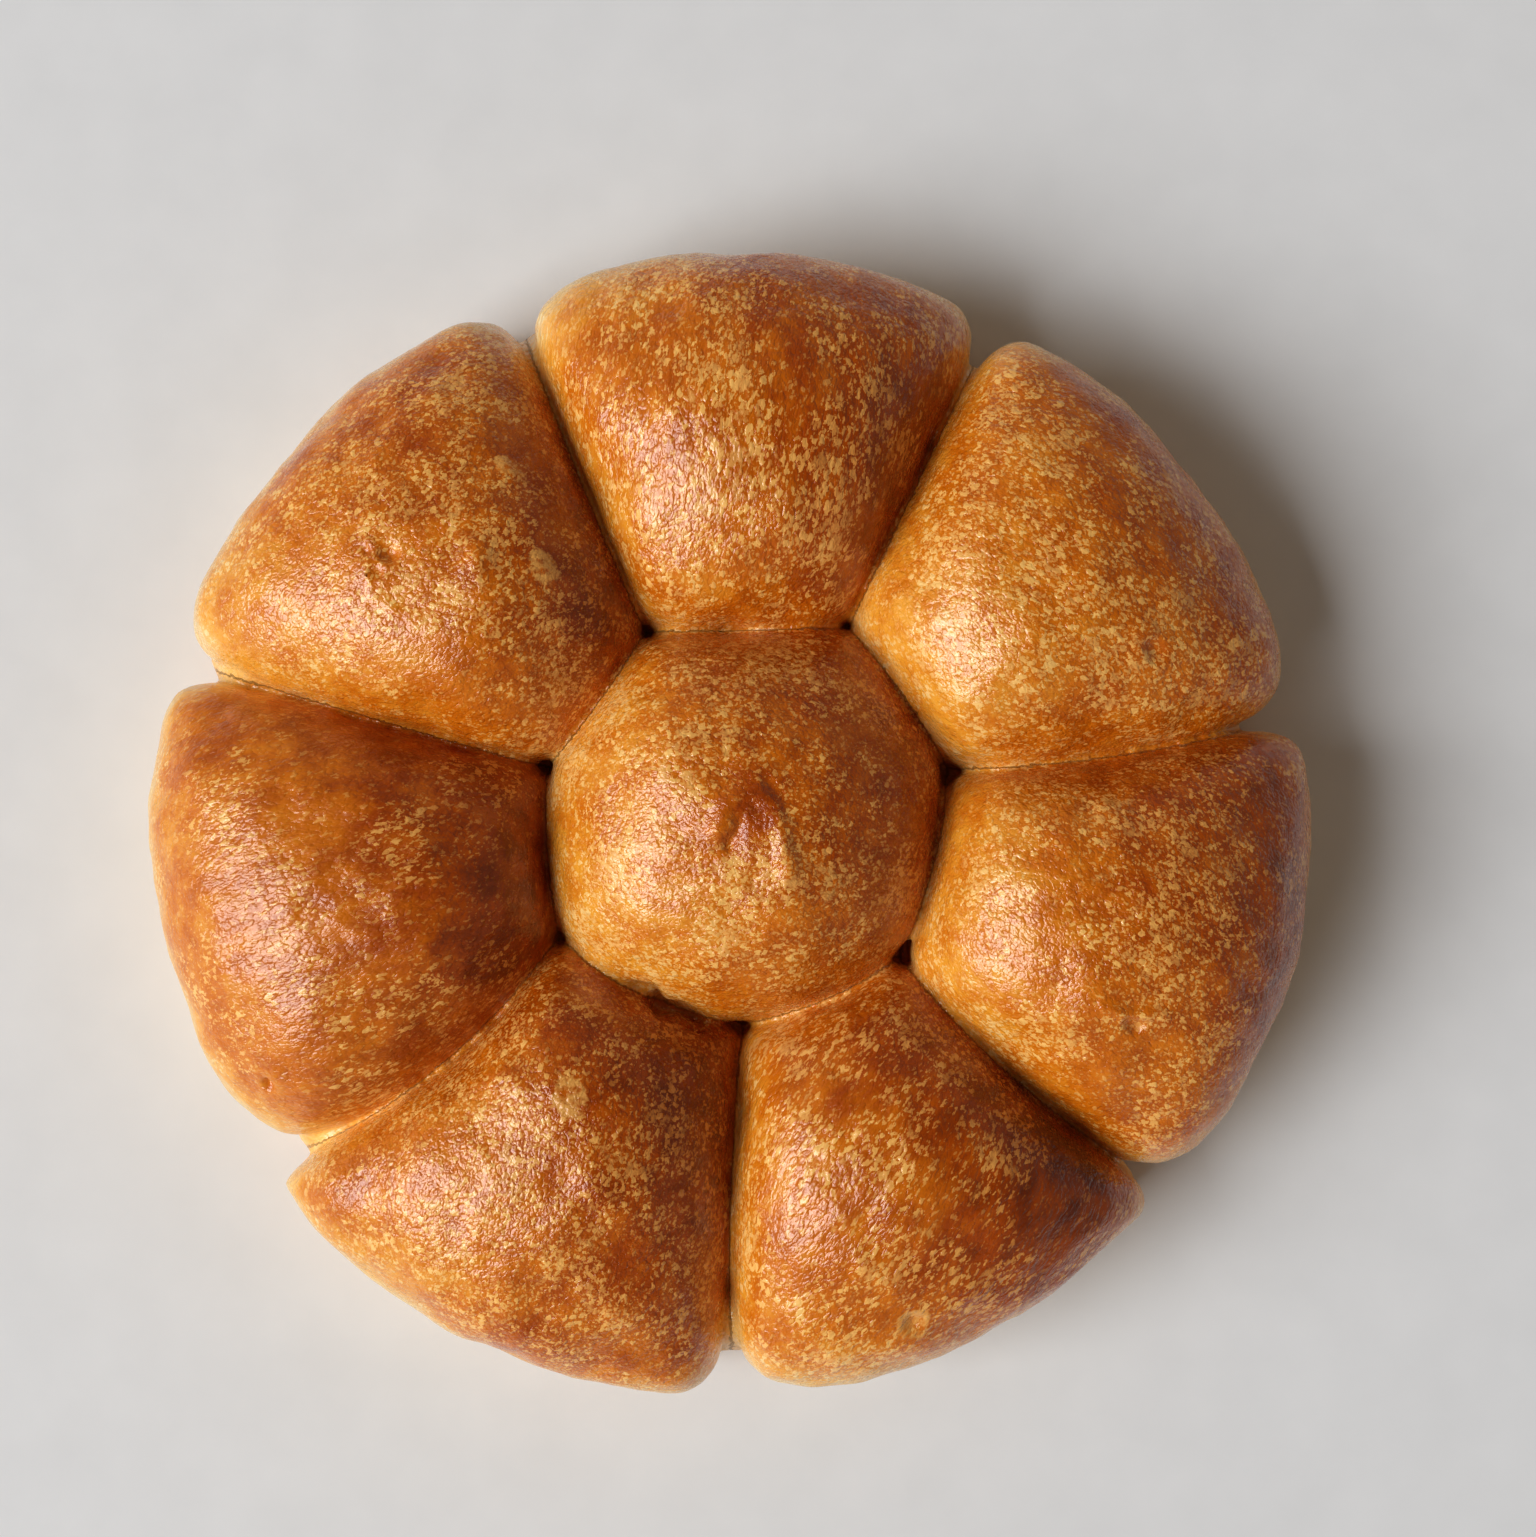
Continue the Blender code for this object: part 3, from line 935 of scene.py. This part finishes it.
def crust_material():
    material, tree, shader = new_material("egg_washed_crust")
    grain = attribute(tree, "grain", "Vector")
    cover = attribute(tree, "fleck_cover")
    cluster = noise(tree, grain, CLUSTERS)
    fleck, large_distance, small_distance = flecks(tree, grain, cover, cluster)
    put_in(tree, shader.inputs["Base Color"], crust_colour(tree, grain, cover, cluster, fleck))
    bump = crust_bump(tree, grain, large_distance, small_distance)
    put_in(tree, shader.inputs["Normal"], bump)
    put_in(tree, shader.inputs["Coat Normal"], bump)
    gloss = between(tree, cluster, *ROUGHNESS_STEP)
    put_in(tree, shader.inputs["Roughness"], math_node(tree, "ADD", gloss, attribute(tree, "dull")))
    shader.inputs["Specular IOR Level"].default_value = SPECULAR_LEVEL
    shader.inputs["Coat Weight"].default_value = COAT_WEIGHT
    shader.inputs["Coat Roughness"].default_value = COAT_ROUGHNESS
    return material


# The floor under the loaf, just under its base.
FLOOR_SIZE = 6.0
FLOOR_DROP = 0.2 * MM
FLOOR_ROUGHNESS = 0.9
FLOOR_COLOURS = (
    (0.3, (0.765, 0.775, 0.785)),
    (0.7, (0.795, 0.805, 0.815)),
)


def floor_material():
    material, tree, shader = new_material("pale_floor")
    places = add_node(tree, "ShaderNodeTexCoord").outputs["Object"]
    colour = ramp(tree, noise(tree, places, CLOUDS), FLOOR_COLOURS)
    put_in(tree, shader.inputs["Base Color"], colour)
    shader.inputs["Roughness"].default_value = FLOOR_ROUGHNESS
    return material


# Building


def build_loaf():
    directions = directions_around(OUTLINE_POINTS)
    buns = []
    for number, (centre, radii, height) in enumerate(all_buns(directions)):
        mesh = mesh_from_rings(f"bun_{number}", centre, bun_rings(radii, height))
        raise_crust(mesh, BUN_SEED + SEEDS_APART * number)
        buns.append(mesh)
    for number, tail in enumerate(TAILS):
        centre = polar(tail.angle, tail.radius)
        mesh = mesh_from_rings(f"tail_{number}", centre, tail_rings(tail, directions))
        raise_crust(mesh, TAIL_SEED + SEEDS_APART * number)
        buns.append(mesh)
    core = mesh_from_rings("core", TIN_CENTRE, core_rings())
    loaf = fused_loaf(core, buns)
    even_out(loaf)
    thin_out(loaf)
    relax_seams(loaf)
    loaf.data.materials.clear()
    loaf.data.materials.append(crust_material())
    loaf.data.shade_smooth()
    describe_crust(loaf.data)
    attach(loaf, "root")
    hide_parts("brioche")


def build_floor():
    bpy.ops.mesh.primitive_plane_add(size=FLOOR_SIZE, location=(0.0, 0.0, -FLOOR_DROP))
    floor = bpy.context.object
    floor.name = "floor"
    floor.data.materials.append(floor_material())


def add_camera():
    camera = bpy.data.objects.new("camera", bpy.data.cameras.new("camera"))
    camera.location = CAMERA_PLACE
    camera.data.sensor_fit = "HORIZONTAL"
    camera.data.sensor_width = SENSOR_WIDTH
    camera.data.lens = SENSOR_WIDTH * CAMERA_PLACE[2] / VIEW_WIDTH
    camera.data.clip_start = NEAREST_SEEN
    bpy.context.scene.collection.objects.link(camera)
    bpy.context.scene.camera = camera


# The window, halfway up the sky on the left of the photograph.
WINDOW_AZIMUTH = 199.0  # degrees, as its elevation is
WINDOW_ELEVATION = 43.0
WINDOW_DISTANCE = 6.0
WINDOW_SIZE = 4.0
WINDOW_WATTS = 328.0
WINDOW_COLOUR = (0.97, 0.985, 1.0)


def add_window():
    """A square soft light that faces the loaf's middle."""
    light = bpy.data.lights.new("window", "AREA")
    light.size = WINDOW_SIZE
    light.energy = WINDOW_WATTS
    light.color = WINDOW_COLOUR
    window = bpy.data.objects.new("window", light)
    azimuth, elevation = math.radians(WINDOW_AZIMUTH), math.radians(WINDOW_ELEVATION)
    window.location = (
        WINDOW_DISTANCE * math.cos(elevation) * math.cos(azimuth),
        WINDOW_DISTANCE * math.cos(elevation) * math.sin(azimuth),
        WINDOW_DISTANCE * math.sin(elevation),
    )
    window.rotation_euler = (0.5 * math.pi - elevation, 0.0, azimuth + 0.5 * math.pi)
    bpy.context.scene.collection.objects.link(window)


# The room's light, from the horizon to straight above, where the picture was taken from.
ROOM_COLOURS = (
    (0.0, (0.30, 0.255, 0.215)),
    (0.6, (0.22, 0.188, 0.16)),
    (0.85, (0.07, 0.062, 0.055)),
    (1.0, (0.04, 0.036, 0.033)),
)


def light_studio():
    add_window()
    world = bpy.data.worlds.new("studio")
    world.use_nodes = True
    tree = world.node_tree
    upward = add_node(tree, "ShaderNodeTexCoord").outputs["Generated"]
    height = add_node(tree, "ShaderNodeSeparateXYZ", {"Vector": upward}).outputs["Z"]
    room = ramp(tree, height, ROOM_COLOURS)
    put_in(tree, tree.nodes["Background"].inputs["Color"], room)
    bpy.context.scene.world = world
    bpy.context.scene.view_settings.view_transform = "Standard"
    bpy.context.scene.view_settings.look = "Medium High Contrast"


add_camera()
light_studio()
build_floor()
build_loaf()
